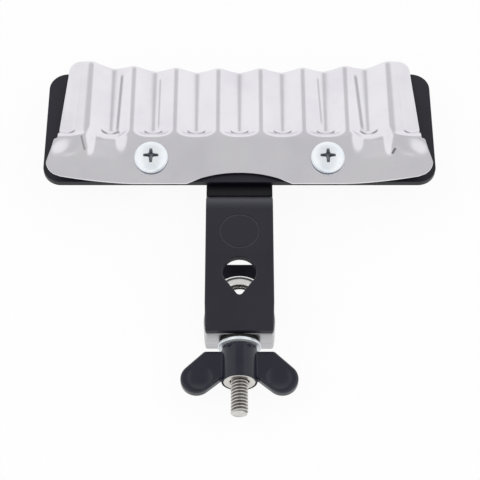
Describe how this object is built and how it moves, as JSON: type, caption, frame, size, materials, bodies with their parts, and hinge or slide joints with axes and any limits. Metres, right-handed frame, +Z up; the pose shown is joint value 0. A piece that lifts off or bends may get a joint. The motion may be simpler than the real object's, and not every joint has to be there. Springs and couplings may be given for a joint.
{
  "type": "metal guiro",
  "caption": "Corrugated steel scraper sheet on a black plate, with an offset strap and an eye bolt rod clamp tightened by a wing nut.",
  "frame": {"origin": "on the axis of the rod that the clamp holds, halfway between the clamp's two walls", "axes": "+Z up along the rod, -Y towards the wing nut, +Y towards the scraper plate, X along the plate's length"},
  "size_m": [0.1522, 0.1491, 0.0242],
  "materials": {
    "sheet_steel": "pressed steel sheet, satin nickel-like sheen",
    "black_paint": "satin black powder coat",
    "brushed_block": "bare metal with fine crosswise brush lines",
    "bolt_chrome": "bright plating",
    "zinc": "bright zinc plate with a bluish cast",
    "dark_zinc": "dull plated steel",
    "black_rubber": "matt black",
    "black_plastic": "moulded black plastic, semi-gloss"
  },
  "bodies": {
    "root": {"guiro_sheet": "sheet_steel", "base_plate": "black_paint", "clamp_strap": "black_paint", "lower_jaw": "black_paint", "clamp_block": "brushed_block", "rubber_washer": "black_rubber", "flat_washer": "zinc", "sheet_screw_left": "zinc", "sheet_screw_right": "zinc", "sheet_spacer_left": "dark_zinc", "sheet_spacer_right": "dark_zinc", "lock_washer_left": "zinc", "lock_washer_right": "zinc", "hex_nut_left": "zinc", "hex_nut_right": "zinc", "strap_rivet_front_left": "dark_zinc", "strap_rivet_front_right": "dark_zinc", "strap_rivet_back_left": "dark_zinc", "strap_rivet_back_right": "dark_zinc", "jaw_screw_left": "dark_zinc", "jaw_screw_right": "dark_zinc"},
    "wing_nut": {"wing_grip": "black_plastic", "nut_insert": "bolt_chrome"},
    "eye": {"eye_bolt": "bolt_chrome"}
  },
  "joints": [
    {"name": "wing_nut_turn", "type": "hinge", "parent": "root", "child": "wing_nut", "pos_m": [0, -0.0277, 0], "axis": [0, -1, 0], "range_deg": [0, 2552]},
    {"name": "eye_bolt_slide", "type": "slide", "parent": "root", "child": "eye", "axis": [0, 1, 0], "range_m": [0, 0.009]}
  ],
  "couplings": [
    {"joint": "wing_nut_turn", "follows": "eye_bolt_slide", "rad_per_m": 4947.4}
  ]
}
